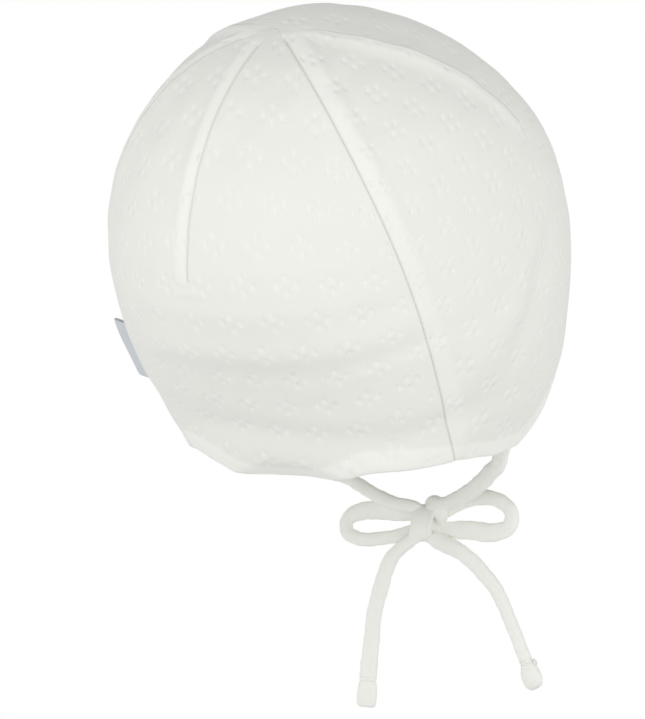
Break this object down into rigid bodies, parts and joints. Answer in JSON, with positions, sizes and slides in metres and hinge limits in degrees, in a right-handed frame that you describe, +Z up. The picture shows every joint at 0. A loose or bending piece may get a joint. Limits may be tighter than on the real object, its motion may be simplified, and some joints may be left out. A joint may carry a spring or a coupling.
{
  "type": "baby bonnet with chin ties",
  "caption": "Soft jersey baby bonnet, gathered by darts to a seam point behind the crown, with ear flaps and chin ties in a bow.",
  "frame": {"origin": "the inside of the crown at its highest point, where the bonnet sits on the head", "axes": "+Z up, the face looks along -Y, the wearer's right is -X"},
  "size_m": [0.1418, 0.1569, 0.2279],
  "materials": {
    "jersey": "soft white jersey with a small raised knit pattern",
    "tie_jersey": "plain white jersey tube",
    "tape": "smooth woven tape"
  },
  "bodies": {
    "root": {"back_panel": "jersey", "front_panel": "jersey", "side_tag": "tape", "bow_knot": "tie_jersey", "chin_tie_right": "tie_jersey", "chin_tie_left": "tie_jersey", "bow_loop_right": "tie_jersey", "bow_loop_left": "tie_jersey", "tie_tail_right": "tie_jersey", "tie_tail_left": "tie_jersey", "tail_end_right": "tie_jersey", "tail_end_left": "tie_jersey"}
  },
  "joints": []
}
